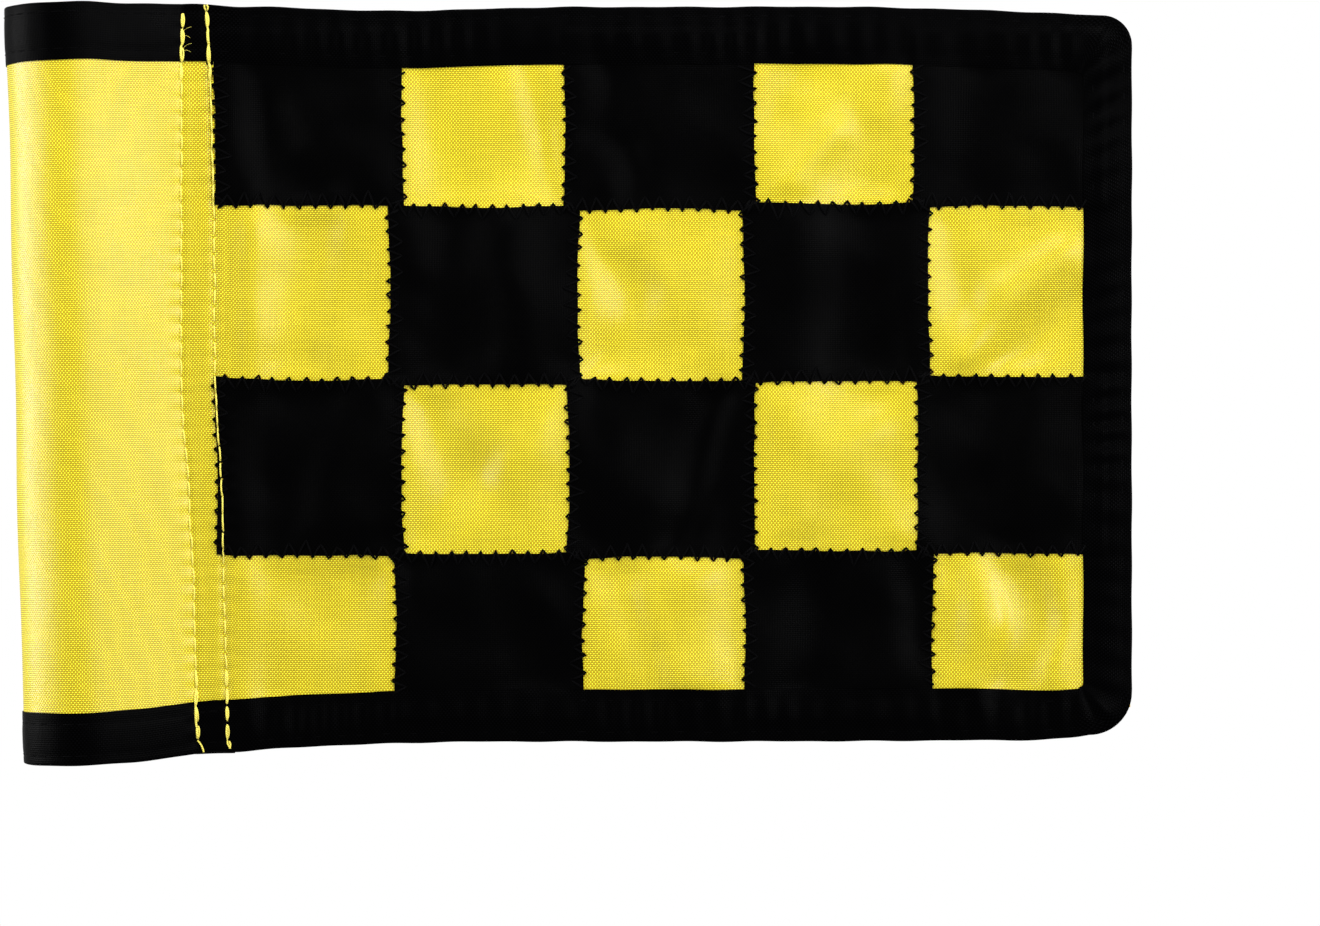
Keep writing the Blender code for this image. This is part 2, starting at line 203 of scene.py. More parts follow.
def section(seam_x):
    """The sleeve's section from the hinge line to the turned hem, as (s, x, y). The front is at -y."""
    radius = SLEEVE_RADIUS
    step = 0.1
    crease = 2.0

    def run(start, end):
        count = max(int(np.linalg.norm(np.subtract(end, start)) / step), 2)
        return np.linspace(start, end, count)

    def crease_round(corner, before, after):
        u = np.linspace(0, 1, 12)[:, None]
        return before * (1 - u) ** 2 + 2 * corner * u * (1 - u) + after * u**2

    def towards(start, end, distance):
        along = np.subtract(end, start)
        return np.array(start) + along / np.linalg.norm(along) * distance

    front_seam = np.array([seam_x, 0.0])
    back_seam = np.array([seam_x, BACK_LAYER_Y])
    front_angle = math.acos(radius / seam_x)
    far = np.linalg.norm(back_seam)
    back_angle = math.atan2(BACK_LAYER_Y, seam_x) + math.acos(radius / far)
    angles = np.linspace(-front_angle, back_angle - 2 * math.pi, 240)
    arc = radius * np.column_stack([np.cos(angles), np.sin(angles)])
    front_flat = towards(front_seam, (HINGE_X, 0), crease)
    front_flank = towards(front_seam, arc[0], crease)
    back_flank = towards(back_seam, arc[-1], crease)
    back_flat = towards(back_seam, (HEM_EDGE_X, BACK_LAYER_Y), crease)
    fold_radius = LAYER / 2
    turn = np.linspace(math.pi / 2, -math.pi / 2, 9)
    fold_centre = np.array([HEM_EDGE_X - fold_radius, BACK_LAYER_Y - fold_radius])
    fold = fold_centre + fold_radius * np.column_stack([np.cos(turn), np.sin(turn)])
    parts = [
        run((HINGE_X, 0), front_flat),
        crease_round(front_seam, front_flat, front_flank),
        run(front_flank, arc[0]),
        arc,
        run(arc[-1], back_flank),
        crease_round(back_seam, back_flank, back_flat),
        run(back_flat, fold[0]),
        fold,
        run(fold[-1], fold[-1] - (HEM_TURN, 0)),
    ]
    points = np.concatenate(parts)
    keep = np.concatenate([[True], np.linalg.norm(np.diff(points, axis=0), axis=1) > 1e-6])
    points = points[keep]
    length = length_along(points)
    samples = np.linspace(0, length[-1], 3000)
    x, y = (np.interp(samples, length, points[:, i]) for i in (0, 1))
    return HINGE_X - samples, x, y


SEAM_LEAST = min(s for t, s in SEAM_INNER)
SEAM_MOST = max(s for t, s in SEAM_INNER)
SECTIONS = [section(SEAM_LEAST), section(SEAM_MOST)]
HEM_END = max(curve[0][-1] for curve in SECTIONS) + 0.1
FOLDS = [curve[0][-1] + HEM_TURN + math.pi * LAYER / 4 for curve in SECTIONS]
HEM_FOLD = max(FOLDS)


def on_section(curve, s):
    """A section's point and outward normal at s."""
    lengths, x, y = (values[::-1] for values in curve)
    reach = 0.3
    ahead = [np.interp(s + reach, lengths, values) for values in (x, y)]
    behind = [np.interp(s - reach, lengths, values) for values in (x, y)]
    tangent = np.stack([ahead[0] - behind[0], ahead[1] - behind[1]])
    tangent /= np.maximum(np.hypot(*tangent), 1e-9)
    return np.interp(s, lengths, x), np.interp(s, lengths, y), tangent[1], -tangent[0]


def fold_at(t):
    """Where the hem folds at the sleeve's back, as s at the height t."""
    return FOLDS[0] + (FOLDS[1] - FOLDS[0]) * seam_share(t)


def seam_share(t):
    return (knot_curve(SEAM_INNER, t) - SEAM_LEAST) / (SEAM_MOST - SEAM_LEAST)


def seam_relief(s, t):
    """The channel that each row of the sleeve's stitching pulls in, with a dimple at each needle hole."""
    total = np.zeros(s.shape)
    for knots in (SEAM_INNER, SEAM_OUTER):
        line = knot_curve(knots, t)
        needle = np.cos(math.pi * (t - SEAM_PHASE) / SEAM_STITCH) ** 2
        for place in (line, fold_at(t) + HEM_EDGE_X - line):
            away = np.abs(s - place)
            total -= SEAM_CHANNEL * bell(away / 0.8)
            total -= SEAM_DIMPLE * needle**4 * bell(away / 0.55)
            total += SEAM_PUCKER * (0.5 - needle) * bell((away - 1.3) / 1.1)
    return total


def sleeve_relief(s, t):
    """The sleeve's slack on its tube: drawn in a little under the top tape, with long shallow waves."""
    pulled = -SLEEVE_PULL * bell((t - SLEEVE_PULL_HEIGHT) / SLEEVE_PULL_REACH)
    waves = 0.12 * np.sin(t / 13 + s / 9) + 0.08 * np.sin(t / 7.1 - s / 5 + 1)
    return (pulled + waves) * smooth((22 - s) / 6) * smooth((s + 45) / 10)


def fly_relief(s, t):
    """The fly's puckers, read from their grid."""
    a, b = unpattern(s, t)
    column = np.clip((a - PUCKER_A[0]) / PUCKER_STEP, 0, len(PUCKER_A) - 1.001)
    line = np.clip((b - PUCKER_B[0]) / PUCKER_STEP, 0, len(PUCKER_B) - 1.001)
    i, j = line.astype(int), column.astype(int)
    v, u = line - i, column - j
    low = PUCKERS[i, j] * (1 - u) + PUCKERS[i, j + 1] * u
    high = PUCKERS[i + 1, j] * (1 - u) + PUCKERS[i + 1, j + 1] * u
    return (low * (1 - v) + high * v) * smooth((a - 29.5) / 9)


def relief(s, t):
    """How far the cloth stands out from its plain shape, from puckers, waves and stitches."""
    return seam_relief(s, t) + sleeve_relief(s, t) + fly_relief(s, t)


def lay(s, t, n):
    """The flag's point at (s, t) of the pattern, n out from the middle of the yellow cloth."""
    s, t, n = np.broadcast_arrays(*(np.asarray(v, float) for v in (s, t, n)))
    share = seam_share(t)
    near = on_section(SECTIONS[0], s)
    far = on_section(SECTIONS[1], s)
    x, y, nx, ny = (p + (q - p) * share for p, q in zip(near, far))
    on_fly = s >= HINGE_X
    x = np.where(on_fly, s, x)
    y = np.where(on_fly, 0, y)
    nx = np.where(on_fly, 0, nx)
    ny = np.where(on_fly, -1, ny)
    out = n + relief(s, t)
    return np.stack([x + nx * out, y + ny * out, t + MIDDLE], axis=-1)


def black_layers(a, b, rows=(1, 2, 3, 4)):
    """How many black squares lie on the yellow cloth at (a, b), rising smoothly at their edges."""
    soft = 0.5
    layers = np.zeros(np.broadcast(a, b).shape)
    for (row, column), box in SQUARES.items():
        if row in rows:
            layers += smooth(0.5 + depth_inside(box, a, b) / soft)
    return layers


def tape_width(side, a):
    """The tape's width across the front at a, along the top (side 1) or the bottom (side -1)."""
    if side > 0:
        return TAPE_TOP
    return TAPE_BOTTOM - TAPE_NARROWED * smooth((a - NARROW_FROM) / (NARROW_TO - NARROW_FROM))


def under_tape(a, b):
    """How far (a, b) lies under the tape, in from the tape's inner edge; negative in the open."""
    above = b - (knot_curve(TOP_EDGE, a) - tape_width(1, a))
    below = knot_curve(BOTTOM_EDGE, a) + tape_width(-1, a) - b
    return np.maximum(np.maximum(above, below), a - (REACH - TAPE_FLY))


def front_face(a, b, taped=True):
    """How far out the flag's front face is at (a, b)."""
    out = CLOTH / 2 + LAYER * black_layers(a, b)
    return out + LAYER * smooth(0.5 + under_tape(a, b) / 0.4) if taped else out


def back_face(a, b, taped=True):
    out = np.full(np.broadcast(a, b).shape, CLOTH / 2)
    return -(out + LAYER * smooth(0.5 + under_tape(a, b) / 0.4)) if taped else -out


# ---- meshes ----


def add_object(name, data):
    obj = bpy.data.objects.new(name, data)
    bpy.context.scene.collection.objects.link(obj)
    return obj


def grid_quads(rows, cols):
    """The four corners of each cell in a grid of rows by cols points."""
    index = np.arange(rows * cols).reshape(rows, cols)
    return np.stack([index[:-1, :-1], index[:-1, 1:], index[1:, 1:], index[1:, :-1]], axis=-1)


def add_mesh(name, points, faces, corner_uv, material):
    """A smooth mesh from points in mm, with a UV for each face's corner, in mm along the cloth."""
    mesh = bpy.data.meshes.new(name)
    mesh.from_pydata((points / 1000).tolist(), [], faces)
    layer = mesh.uv_layers.new(name="pattern_mm")
    layer.data.foreach_set("uv", corner_uv.astype(np.float32).ravel())
    mesh.shade_smooth()
    mesh.set_sharp_from_angle(angle=math.radians(50))
    mesh.materials.append(material)
    obj = add_object(name, mesh)
    return obj


def sheet_faces(rows, cols, keep=None):
    """The faces of a closed thin sheet whose front and back are two grids of rows by cols points."""
    keep = np.ones((rows - 1, cols - 1), bool) if keep is None else keep
    corners = grid_quads(rows, cols)[keep]
    back = rows * cols
    faces = [corners, corners[:, ::-1] + back]
    edges = np.concatenate([corners[:, [i, (i + 1) % 4]] for i in range(4)])
    known = {tuple(edge) for edge in edges.tolist()}
    rim = np.array([edge for edge in edges.tolist() if (edge[1], edge[0]) not in known])
    faces.append(np.column_stack([rim[:, 1], rim[:, 0], rim[:, 0] + back, rim[:, 1] + back]))
    return np.concatenate(faces)


def closed_sheet(name, front, back, uv, material, keep=None):
    """A thin closed sheet from its front and back grids, with only the points that its faces use."""
    rows, cols = front.shape[:2]
    faces = sheet_faces(rows, cols, keep)
    points = np.concatenate([front.reshape(-1, 3), back.reshape(-1, 3)])
    corner_uv = np.concatenate([uv.reshape(-1, 2)] * 2)[faces.ravel()]
    used, faces = np.unique(faces, return_inverse=True)
    return add_mesh(name, points[used], faces.reshape(-1, 4).tolist(), corner_uv, material)


def tube_mesh(paths, radii, sides=6):
    """Closed round tubes along paths, as (points, faces, corner uv): u is mm along it, v the angle."""
    all_points, all_faces, all_uv = [], [], []
    base = 0
    turn = np.linspace(0, 2 * math.pi, sides + 1)
    for path, radius in zip(paths, radii):
        tangent = np.gradient(path, axis=0)
        tangent /= np.maximum(np.linalg.norm(tangent, axis=1, keepdims=True), 1e-9)
        across = np.cross(tangent, (0, 1, 0))
        weak = np.linalg.norm(across, axis=1) < 0.05
        across[weak] = np.cross(tangent[weak], (1, 0, 0))
        across /= np.linalg.norm(across, axis=1, keepdims=True)
        other = np.cross(tangent, across)
        ring = across[:, None] * np.cos(turn[:-1])[:, None] + other[:, None] * np.sin(turn[:-1])[:, None]
        all_points.append((path[:, None] + radius * ring).reshape(-1, 3))
        count = len(path)
        index = base + np.arange(count * sides).reshape(count, sides)
        following = np.roll(index, -1, axis=1)
        walls = np.stack([index[:-1], following[:-1], following[1:], index[1:]], axis=-1).reshape(-1, 4)
        length = length_along(path)
        u = np.stack([length[:-1], length[:-1], length[1:], length[1:]], axis=-1)[:, None]
        v = np.stack([turn[:-1], turn[1:], turn[1:], turn[:-1]], axis=-1)[None]
        u, v = np.broadcast_arrays(u, v)
        all_faces += walls.tolist() + [index[0][::-1].tolist(), index[-1].tolist()]
        all_uv += [np.stack([u.ravel(), v.ravel()], axis=-1), np.zeros((2 * sides, 2))]
        base += count * sides
    return np.concatenate(all_points), all_faces, np.concatenate(all_uv)


def add_threads(name, paths, radii, material):
    points, faces, uv = tube_mesh(paths, np.broadcast_to(radii, len(paths)))
    return add_mesh(name, points, faces, uv, material)


def bend(obj):
    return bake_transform(obj)


# ---- puckers ----

PUCKER_STEP = 1.6
PUCKER_A = np.arange(30.0, REACH + PUCKER_STEP, PUCKER_STEP)
PUCKER_B = np.arange(-74.0, 77.0, PUCKER_STEP)
PUCKER_HEIGHT = 0.74  # of nearly the highest pucker
PUCKER_LIMIT = 2.2
START_BLUR = 30  # rounds of blurring, on the bumps that the simulation starts from
LEVEL_BLUR = 120  # and on the broad waves that are taken out of its result
SEWN_FLATNESS = 0.75
CREASE_HEIGHT = 3.0
CREASE_LIMIT = 1.9
# soft creases: from (a, b) to (a, b), half width, and height, where below 0 is a valley
CREASES = [
    (90, 63, 97, 37, 3, -0.55), (68, 60, 72, 39, 6, -0.3), (142, 39, 151, 50, 3, 0.55),
    (144, 63, 138, 52, 4, -0.3), (162, 62, 160, 54, 3, 0.3), (33, 34, 33, 3, 4, 0.5),
    (48, 35, 46, 3, 6.5, -1), (53, 34, 49, 3, 4.5, 0.4), (101, 34, 111, 18, 4, -0.55),
    (111, 18, 103, 3, 4, -0.55), (104, 32, 107, 27, 2.5, 0.25), (171, 34, 176, 17, 4, -0.5),
    (177, 4, 184, 17, 3.5, 0.65), (184, 17, 196, 26, 3.5, 0.55), (184, 2, 199, 17, 3.2, -0.5),
    (67, -2, 77, -17, 4.5, -0.6), (77, -17, 67, -33, 4.5, -0.6), (96, -2, 88, -17, 4.5, 0.5),
    (88, -17, 96, -32, 4.5, 0.35), (136, -1, 149, -16, 5, 0.3), (149, -16, 138, -33, 5, 0.35),
    (165, -1, 154, -16, 5, 0.3), (154, -16, 166, -32, 5, 0.3), (52, -39, 42, -62, 6.5, -0.9),
    (32, -38, 32, -61, 4, 0.4), (109, -38, 116, -59, 3.5, -0.2), (123, -38, 124, -60, 5, 1.0),
    (113, -42, 120, -60, 3, 0.3), (178, -35, 181, -47, 4, 0.7), (181, -47, 178, -60, 4, 0.7),
    (186, -35, 190, -47, 4.5, -0.9), (190, -47, 185, -60, 4.5, -0.9), (196, -35, 195, -61, 3.5, 0.4),
    (33, 63, 42, 38, 5.5, -0.8), (179, 64, 178, 37, 5.5, -0.7), (106, 64, 105, 51, 3.5, -0.3),
    (110, 47, 111, 37, 3.5, -0.4), (74, 33, 73, 2, 5, -0.45), (87, 32, 88, 3, 5, 0.6),
    (142, 34, 142, 2, 6, 0.6), (158, 34, 157, 2, 7, -1), (45, -2, 38, -32, 6.5, -0.8),
    (127, -2, 119, -32, 3.2, -0.6), (181, -1, 176, -33, 6.5, -0.8), (148, -35, 144, -60, 5.5, -0.6),
    (166, -35, 168, -51, 3.5, -0.5), (84, -38, 86, -51, 5, -0.25),
]
SEWN_WIDTH = 2.4
RANDOM_SEED = 11


def blurred(values, times):
    for _ in range(times):
        padded = np.pad(values, 1, mode="edge")
        values = (padded[:-2, 1:-1] + 2 * padded[1:-1, 1:-1] + padded[2:, 1:-1]) / 4
        padded = np.pad(values, 1, mode="edge")
        values = (padded[1:-1, :-2] + 2 * padded[1:-1, 1:-1] + padded[1:-1, 2:]) / 4
    return values


def sewn_share(a, b):
    """1 on a sewn line of the chequer or under the tape, falling to 0 in the open cloth."""
    nearest = np.full(np.broadcast(a, b).shape, 99.0)
    for box in SQUARES.values():
        left, right, bottom, top = box
        across = np.maximum(np.maximum(left - a, a - right), 0)
        along = np.maximum(np.maximum(bottom - b, b - top), 0)
        outside = np.hypot(across, along)
        inside = depth_inside(box, a, b)
        nearest = np.minimum(nearest, np.where(inside > 0, inside, outside))
    return np.maximum(bell(nearest / SEWN_WIDTH), smooth(0.5 + under_tape(a, b) / 3))


def grid_object(name, a, b, lift, scale):
    points = np.stack([a * scale, lift * scale, b * scale], axis=-1).reshape(-1, 3)
    mesh = bpy.data.meshes.new(name)
    mesh.from_pydata(points.tolist(), [], grid_quads(*a.shape).reshape(-1, 4).tolist())
    return add_object(name, mesh)


def add_weights(obj, name, weights):
    group = obj.vertex_groups.new(name=name)
    for i, weight in enumerate(weights.ravel().tolist()):
        group.add([i], weight, "REPLACE")
    return name


NYLON_TRIAL = {
    "quality": 6, "mass": 0.2, "tension_stiffness": 30, "compression_stiffness": 30, "shear_stiffness": 8,
    "bending_stiffness": 2.0, "air_damping": 3, "pin_stiffness": 1, "shrink_min": -0.012, "shrink_max": 0.0,
}


def simulate_puckers(a, b, start):
    """Let the sewn lines shrink in a flat cloth, so that the cells between them buckle."""
    scale = 0.01
    frames = 40
    sewn = sewn_share(a, b)
    cloth = grid_object("pucker_trial", a, b, start, scale)
    modifier = cloth.modifiers.new("Cloth", "CLOTH")
    settings = modifier.settings
    for name, value in NYLON_TRIAL.items():
        setattr(settings, name, value)
    settings.vertex_group_mass = add_weights(cloth, "held", 0.9 * sewn)
    settings.vertex_group_shrink = add_weights(cloth, "sewn", sewn)
    settings.effector_weights.gravity = 0
    modifier.collision_settings.use_collision = False
    scene = bpy.context.scene
    for number in range(1, frames + 1):
        scene.frame_set(number)
    shaped = cloth.evaluated_get(bpy.context.evaluated_depsgraph_get()).to_mesh()
    points = np.empty(len(shaped.vertices) * 3)
    shaped.vertices.foreach_get("co", points)
    scene.frame_set(1)
    mesh = cloth.data
    bpy.data.objects.remove(cloth)
    bpy.data.meshes.remove(mesh)
    return -points.reshape(*a.shape, 3)[..., 1] / scale


def crease_relief(a, b):
    """The listed creases together, levelled off at CREASE_LIMIT."""
    total = np.zeros(a.shape)
    for a_start, b_start, a_end, b_end, half_width, lift in CREASES:
        run_a, run_b = a_end - a_start, b_end - b_start
        share = np.clip(((a - a_start) * run_a + (b - b_start) * run_b) / (run_a**2 + run_b**2), 0, 1)
        away = np.hypot(a - a_start - share * run_a, b - b_start - share * run_b)
        total += CREASE_HEIGHT * lift * bell(away / half_width)
    return CREASE_LIMIT * np.tanh(total / CREASE_LIMIT)


def make_puckers():
    """The fly's puckers in mm on the grid of PUCKER_A by PUCKER_B, towards the front."""
    a, b = np.meshgrid(PUCKER_A, PUCKER_B)
    rng = np.random.default_rng(RANDOM_SEED)
    start = blurred(rng.normal(size=a.shape), START_BLUR)
    start *= 1.0 / start.std()
    height = simulate_puckers(a, b, start)
    height = blurred(height, 1)
    height -= blurred(height, LEVEL_BLUR)
    height *= 1 - SEWN_FLATNESS * sewn_share(a, b)
    height *= PUCKER_HEIGHT / np.percentile(np.abs(height), 96)
    height = np.tanh(height / PUCKER_LIMIT) * PUCKER_LIMIT
    height += crease_relief(a, b) * (1 - 0.5 * sewn_share(a, b))
    wave = 0.3 * np.sin(a / 23 + 0.6) * np.sin(b / 31 + 0.9) + 0.25 * np.sin(a / 12 - b / 17)
    return height + wave * smooth((a - 40) / 30)


def enlarged(values, times):
    """The grid with each step split in so many, and rounded off."""
    for axis in (0, 1):
        count = values.shape[axis]
        fine = np.linspace(0, count - 1, (count - 1) * times + 1)
        values = np.apply_along_axis(lambda line: np.interp(fine, np.arange(len(line)), line), axis, values)
    return blurred(values, times)


PUCKER_SPLIT = 3
PUCKERS = enlarged(make_puckers(), PUCKER_SPLIT)
PUCKER_STEP /= PUCKER_SPLIT
PUCKER_A = PUCKER_A[0] + PUCKER_STEP * np.arange(PUCKERS.shape[1])
PUCKER_B = PUCKER_B[0] + PUCKER_STEP * np.arange(PUCKERS.shape[0])


# ---- materials ----


class Nodes:
    """A material's node tree, with short calls for its usual nodes."""

    def __init__(self, name):
        self.material = bpy.data.materials.new(name)
        self.material.use_nodes = True
        self.tree = self.material.node_tree
        self.shader = self.tree.nodes["Principled BSDF"]

    def add(self, kind, **settings):
        node = self.tree.nodes.new(kind)
        for key, value in settings.items():
            setattr(node, key, value)
        return node

    def put(self, socket, value):
        if isinstance(value, bpy.types.NodeSocket):
            self.tree.links.new(value, socket)
        else:
            socket.default_value = value

    def maths(self, operation, *values):
        node = self.add("ShaderNodeMath", operation=operation)
        for socket, value in zip(node.inputs, values):
            self.put(socket, value)
        return node.outputs[0]

    def spread(self, value, low, high, to_low=0.0, to_high=1.0):
        node = self.add("ShaderNodeMapRange", interpolation_type="SMOOTHSTEP")
        for socket, given in zip(node.inputs, (value, low, high, to_low, to_high)):
            self.put(socket, given)
        return node.outputs[0]

    def mix(self, share, first, second, blend="MIX"):
        node = self.add("ShaderNodeMix", data_type="RGBA", blend_type=blend)
        self.put(node.inputs[0], share)
        self.put(node.inputs[6], first)
        self.put(node.inputs[7], second)
        return node.outputs[2]

    def surface(self, inputs):
        """Set or link the shader's inputs by name, and give the finished material."""
        for name, value in inputs.items():
            self.put(self.shader.inputs[name], value)
        return self.material

    def pattern(self):
        """The cloth's own coordinates, u and v in mm."""
        node = self.add("ShaderNodeSeparateXYZ")
        self.put(node.inputs[0], self.add("ShaderNodeUVMap", uv_map="pattern_mm").outputs[0])
        return node.outputs[0], node.outputs[1]

    def noise(self, u, v, along, across, detail=2.0):
        """Noise with features of about along by across mm."""
        place = self.add("ShaderNodeCombineXYZ")
        self.put(place.inputs[0], self.maths("DIVIDE", u, along))
        self.put(place.inputs[1], self.maths("DIVIDE", v, across))
        node = self.add("ShaderNodeTexNoise")
        self.put(node.inputs["Vector"], place.outputs[0])
        self.put(node.inputs["Scale"], 1.0)
        self.put(node.inputs["Detail"], detail)
        return node.outputs["Fac"]

    def bump(self, height, strength, distance):
        node = self.add("ShaderNodeBump")
        node.inputs["Strength"].default_value = strength
        node.inputs["Distance"].default_value = distance
        self.put(node.inputs["Height"], height)
        return node.outputs[0]


def woven(name, warp, weft, pitch, shade, roughness, specular, sheen, bump):
    """Plain-woven cloth: warp threads run along v and weft along u, at the pitch (warp, weft) in mm. The weft
    colour is lighter than the warp colour, as a painted highlight where the weft lies on top, and the colour
    darkens between the threads as painted shade.
    """
    nodes = Nodes(name)
    u, v = nodes.pattern()
    wander = nodes.maths("SUBTRACT", nodes.noise(u, v, 9, 9), 0.5)
    u_thread = nodes.maths("DIVIDE", nodes.maths("MULTIPLY_ADD", wander, 0.35, u), pitch[0] / math.pi)
    v_thread = nodes.maths("DIVIDE", nodes.maths("MULTIPLY_ADD", wander, -0.3, v), pitch[1] / math.pi)
    warp_wave = nodes.maths("COSINE", u_thread)
    weft_wave = nodes.maths("COSINE", v_thread)
    crossing = nodes.maths("MULTIPLY", warp_wave, weft_wave)
    weft_on_top = nodes.spread(crossing, -0.3, 0.3)
    warp_round = nodes.maths("ABSOLUTE", warp_wave)
    weft_round = nodes.maths("ABSOLUTE", weft_wave)
    rise = nodes.maths("SUBTRACT", weft_round, warp_round)
    top = nodes.maths("MULTIPLY_ADD", rise, weft_on_top, warp_round)
    float_height = nodes.maths("MULTIPLY_ADD", nodes.maths("ABSOLUTE", crossing), 0.45, 0.55)
    height = nodes.maths("MULTIPLY", top, float_height)
    slubs = nodes.noise(u, v, 6, 0.45)
    streaks = nodes.noise(u, v, 0.4, 9)
    unevenness = nodes.maths("MULTIPLY", nodes.spread(slubs, 0.25, 0.75, 0.93, 1.04),
                             nodes.spread(streaks, 0.25, 0.75, 0.95, 1.03))
    # painted shade: the colour darkens towards the shade factor where the weave lies low, between the
    # threads; the slubs and streaks are the yarn's own uneven tone
    painted_crevice_shade = nodes.maths("MULTIPLY", nodes.spread(height, 0.0, 0.75, shade, 1.0), unevenness)
    # the yarn's own colour, made lighter where the weft lies on top as a painted highlight
    threads = nodes.mix(weft_on_top, (*warp, 1), (*weft, 1))
    painted_shade_grey = nodes.add("ShaderNodeCombineColor")
    for socket in painted_shade_grey.inputs:
        nodes.put(socket, painted_crevice_shade)
    worn = nodes.noise(u, v, 14, 14, 3.0)
    return nodes.surface({
        "Base Color": nodes.mix(1.0, threads, painted_shade_grey.outputs[0], "MULTIPLY"),
        "Roughness": nodes.spread(worn, 0.3, 0.7, roughness - 0.05, roughness + 0.06),
        "Specular IOR Level": specular,
        "Sheen Weight": sheen[0],
        "Sheen Roughness": sheen[1],
        "Sheen Tint": (*sheen[2], 1),
        "Normal": nodes.bump(height, bump, 0.00006),
    })


THREAD_LAY = 0.9  # mm along the thread for one turn of its plies


def twisted(name, shaded_groove_colour, light, specular):
    """Sewing thread: u runs along it in mm and v round it, and two plies wind about each other. The colour
    darkens into the grooves between the plies as painted shade.
    """
    nodes = Nodes(name)
    u, v = nodes.pattern()
    turn = nodes.maths("MULTIPLY_ADD", u, 2 * math.pi / THREAD_LAY, v)
    ply = nodes.maths("ABSOLUTE", nodes.maths("COSINE", turn))
    fibres = nodes.noise(turn, u, 0.25, 1.2)
    height = nodes.maths("MULTIPLY_ADD", fibres, 0.25, ply)
    return nodes.surface({
        # painted shade: the first colour lies in the grooves between the plies and the second on their crowns
        "Base Color": nodes.mix(nodes.spread(height, 0.1, 1.1), (*shaded_groove_colour, 1), (*light, 1)),
        "Roughness": nodes.spread(fibres, 0.3, 0.7, 0.45, 0.6),
        "Specular IOR Level": specular,
        "Normal": nodes.bump(height, 0.7, 0.00008),
    })


def moulded_plastic():
    """The sleeve's tube: pale extruded plastic, with faint drawn lines along it."""
    nodes = Nodes("insert_plastic")
    place = nodes.add("ShaderNodeSeparateXYZ")
    nodes.put(place.inputs[0], nodes.add("ShaderNodeTexCoord").outputs["Object"])
    x, y, z = place.outputs
    angle = nodes.maths("MULTIPLY", nodes.maths("ARCTAN2", y, x), 12.0)
    length = nodes.maths("MULTIPLY", z, 1000.0)
    lines = nodes.noise(angle, length, 0.35, 60, 3.0)
    cloudy = nodes.noise(angle, length, 6, 9, 2.0)
    return nodes.surface({
        "Base Color": nodes.mix(nodes.spread(cloudy, 0.3, 0.7), (0.62, 0.63, 0.64, 1), (0.72, 0.73, 0.73, 1)),
        "Roughness": nodes.spread(lines, 0.3, 0.7, 0.34, 0.46),
        "Normal": nodes.bump(lines, 0.25, 0.00006),
    })


NYLON_PITCH = (0.33, 0.40)
TAPE_PITCH = (0.36, 0.42)
YELLOW_SHEEN = (0.05, 0.35, (1.0, 0.96, 0.65))  # weight, roughness and tint
BLACK_SHEEN = (0.0005, 0.4, (0.75, 0.8, 1.0))
JET = (0.00003, 0.00003, 0.00005)

# the second colour, the weft's, is lighter than the first, the warp's, as a painted highlight on the weft
# floats; the number after the pitch sets how far the colour darkens between the threads, as painted shade
yellow = woven("yellow_nylon", (0.67, 0.40, 0.001), (1.0, 0.98, 0.040), NYLON_PITCH, 0.08, 0.33, 0.31,
               YELLOW_SHEEN, 0.35)
black = woven("black_nylon", JET, (0.0010, 0.0010, 0.0012), NYLON_PITCH, 0.0, 0.33, 0.016, BLACK_SHEEN, 0.5)
tape_black = woven("black_tape", JET, (0.0013, 0.0013, 0.0016), TAPE_PITCH, 0.0, 0.32, 0.011,
                   BLACK_SHEEN, 0.5)
# thread colours: the first for the grooves between the plies and the second for their crowns, as painted
# shade
thread_black = twisted("black_thread", (0.0001, 0.0001, 0.0001), (0.0013, 0.0013, 0.0016), 0.022)
thread_yellow = twisted("yellow_thread", (0.60, 0.45, 0.03), (0.95, 0.86, 0.16), 0.3)
plastic = moulded_plastic()


# ---- the cloth ----

ROW_STEP = 0.8
HEM_TRIM = 1.6  # the hem's turn is cut this much shorter than the bound edge


def grid_lines(*stretches):
    """Rising grid values from stretches of (start, end, step), each end shared with the next start."""
    values = []
    for start, end, step in stretches:
        count = max(int(round((end - start) / step)), 1)
        values.append(np.linspace(start, end, count, endpoint=False))
    values.append([stretches[-1][1]])
    return np.concatenate(values)


def edge_height(a, inset, side):
    """The outline's height at a, inset from the bound edge, at the top (side 1) or the bottom (side -1)."""
    knots, radius = (TOP_EDGE, UPPER_CORNER) if side > 0 else (BOTTOM_EDGE, LOWER_CORNER)
    radius = radius - inset
    into = np.clip(a - (REACH - inset - radius), 0, radius)
    drop = radius - np.sqrt(np.maximum(radius**2 - into**2, 0))
    return knot_curve(knots, a) - side * (inset + drop)


